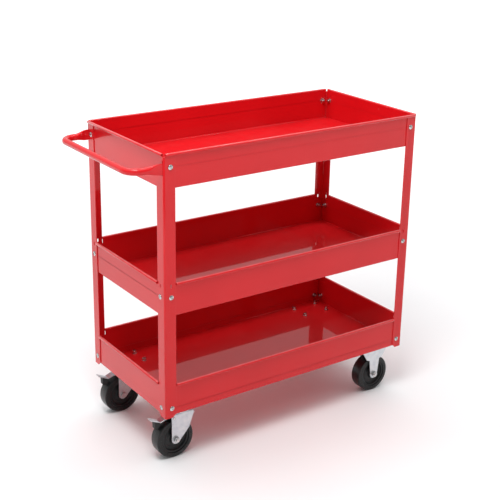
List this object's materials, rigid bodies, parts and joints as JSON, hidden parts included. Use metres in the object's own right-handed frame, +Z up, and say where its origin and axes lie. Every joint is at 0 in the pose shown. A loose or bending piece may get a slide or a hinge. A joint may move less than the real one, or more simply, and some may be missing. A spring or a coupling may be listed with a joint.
{
  "type": "three-tray tool cart",
  "caption": "Red sheet-metal tool cart: open trays bolted between angle legs, a tube push handle, braked swivel casters at the handle end and rigid casters at the front.",
  "frame": {"origin": "on the floor, under the middle of the cart's whole length from handle to front rim, on its lengthways middle plane", "axes": "+X along the cart, away from the handle; +Y to the left of a person pushing it; +Z up"},
  "size_m": [0.8298, 0.3696, 0.776],
  "materials": {
    "red_paint": "gloss powder coat on folded sheet steel",
    "zinc_plate": "bright zinc plated pressed steel",
    "bolt_zinc": "zinc plated fasteners",
    "ball_steel": "polished bearing steel",
    "tyre_rubber": "moulded black rubber",
    "core_plastic": "moulded black polypropylene",
    "shoe_rubber": "moulded black rubber",
    "spring_steel": "oiled spring steel"
  },
  "bodies": {
    "frame": {"top_tray": "red_paint", "middle_tray": "red_paint", "bottom_tray": "red_paint", "leg_rear_right": "red_paint", "leg_rear_left": "red_paint", "leg_front_right": "red_paint", "leg_front_left": "red_paint", "push_handle": "red_paint", "top_tray_bolts": "bolt_zinc", "top_tray_nuts": "bolt_zinc", "middle_tray_bolts": "bolt_zinc", "middle_tray_nuts": "bolt_zinc", "bottom_tray_bolts": "bolt_zinc", "bottom_tray_nuts": "bolt_zinc", "swivel_plate_bolts": "bolt_zinc", "swivel_plate_nuts": "bolt_zinc", "rigid_plate_bolts": "bolt_zinc", "rigid_plate_nuts": "bolt_zinc", "rear_right_swivel_plate": "zinc_plate", "rear_right_king_bolt": "bolt_zinc", "rear_right_king_nut": "bolt_zinc", "rear_right_race_balls": "ball_steel", "rear_left_swivel_plate": "zinc_plate", "rear_left_king_bolt": "bolt_zinc", "rear_left_king_nut": "bolt_zinc", "rear_left_race_balls": "ball_steel", "front_right_rigid_bracket": "zinc_plate", "front_right_axle_bolt": "bolt_zinc", "front_right_axle_nut": "bolt_zinc", "front_right_axle_sleeve": "bolt_zinc", "front_left_rigid_bracket": "zinc_plate", "front_left_axle_bolt": "bolt_zinc", "front_left_axle_nut": "bolt_zinc", "front_left_axle_sleeve": "bolt_zinc"},
    "rear_right_swivel": {"rear_right_fork": "zinc_plate", "rear_right_axle_bolt": "bolt_zinc", "rear_right_axle_nut": "bolt_zinc", "rear_right_axle_sleeve": "bolt_zinc", "rear_right_brake_pin": "bolt_zinc", "rear_right_brake_spring": "spring_steel"},
    "rear_right_wheel": {"rear_right_wheel_core": "core_plastic", "rear_right_tyre": "tyre_rubber"},
    "rear_right_brake": {"rear_right_brake_pedal": "zinc_plate", "rear_right_brake_shoe": "shoe_rubber"},
    "rear_left_swivel": {"rear_left_fork": "zinc_plate", "rear_left_axle_bolt": "bolt_zinc", "rear_left_axle_nut": "bolt_zinc", "rear_left_axle_sleeve": "bolt_zinc", "rear_left_brake_pin": "bolt_zinc", "rear_left_brake_spring": "spring_steel"},
    "rear_left_wheel": {"rear_left_wheel_core": "core_plastic", "rear_left_tyre": "tyre_rubber"},
    "rear_left_brake": {"rear_left_brake_pedal": "zinc_plate", "rear_left_brake_shoe": "shoe_rubber"},
    "front_right_wheel": {"front_right_wheel_core": "core_plastic", "front_right_tyre": "tyre_rubber"},
    "front_left_wheel": {"front_left_wheel_core": "core_plastic", "front_left_tyre": "tyre_rubber"}
  },
  "joints": [
    {"name": "rear_right_swivel_turn", "type": "hinge", "parent": "frame", "child": "rear_right_swivel", "pos_m": [-0.2644, -0.134, 0.12], "axis": [0, 0, 1], "continuous": true},
    {"name": "rear_right_wheel_spin", "type": "hinge", "parent": "rear_right_swivel", "child": "rear_right_wheel", "pos_m": [-0.2854, -0.134, 0.05], "axis": [0, 1, 0], "continuous": true},
    {"name": "rear_right_brake_press", "type": "hinge", "parent": "rear_right_swivel", "child": "rear_right_brake", "pos_m": [-0.2904, -0.134, 0.108], "axis": [0, -1, 0], "range_deg": [0, 6], "stiffness_Nm_per_rad": 0.5, "springref_deg": -5.73},
    {"name": "rear_left_swivel_turn", "type": "hinge", "parent": "frame", "child": "rear_left_swivel", "pos_m": [-0.2644, 0.134, 0.12], "axis": [0, 0, 1], "continuous": true},
    {"name": "rear_left_wheel_spin", "type": "hinge", "parent": "rear_left_swivel", "child": "rear_left_wheel", "pos_m": [-0.2854, 0.134, 0.05], "axis": [0, 1, 0], "continuous": true},
    {"name": "rear_left_brake_press", "type": "hinge", "parent": "rear_left_swivel", "child": "rear_left_brake", "pos_m": [-0.2904, 0.134, 0.108], "axis": [0, -1, 0], "range_deg": [0, 6], "stiffness_Nm_per_rad": 0.5, "springref_deg": -5.73},
    {"name": "front_right_wheel_spin", "type": "hinge", "parent": "frame", "child": "front_right_wheel", "pos_m": [0.3446, -0.134, 0.05], "axis": [0, 1, 0], "continuous": true},
    {"name": "front_left_wheel_spin", "type": "hinge", "parent": "frame", "child": "front_left_wheel", "pos_m": [0.3446, 0.134, 0.05], "axis": [0, 1, 0], "continuous": true}
  ]
}
